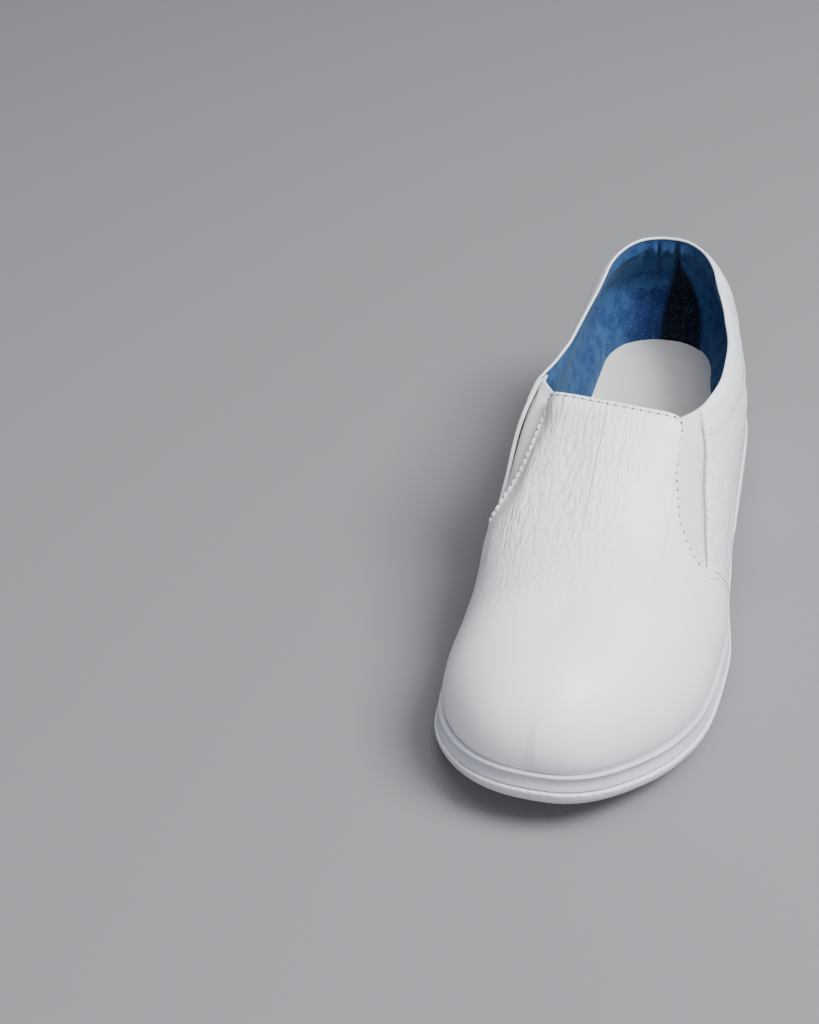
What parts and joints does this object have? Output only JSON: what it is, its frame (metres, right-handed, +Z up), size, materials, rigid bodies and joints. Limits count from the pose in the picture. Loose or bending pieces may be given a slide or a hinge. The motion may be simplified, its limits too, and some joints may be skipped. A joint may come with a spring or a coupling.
{
  "type": "nursing shoe",
  "caption": "Left slip-on work shoe: hollow leather upper with elastic gores, removable insole, stepped midsole band and a heeled outsole with rubber tread inserts.",
  "frame": {"origin": "middle of the shoe's box, at the floor", "axes": "+Y from toe to heel, +X to the lateral side, +Z up"},
  "size_m": [0.0981, 0.272, 0.0898],
  "materials": {
    "leather": "soft semi-gloss grain",
    "elastic": "ribbed matte weave",
    "footbed": "matte",
    "band": "smooth satin",
    "sole": "fine leathery texture",
    "tread": "finely pitted"
  },
  "bodies": {
    "root": {"upper": "leather", "gore_medial": "elastic", "gore_lateral": "elastic", "insole": "footbed", "midsole": "band", "outsole": "sole", "tread_forefoot": "tread", "tread_heel": "tread"}
  },
  "joints": []
}
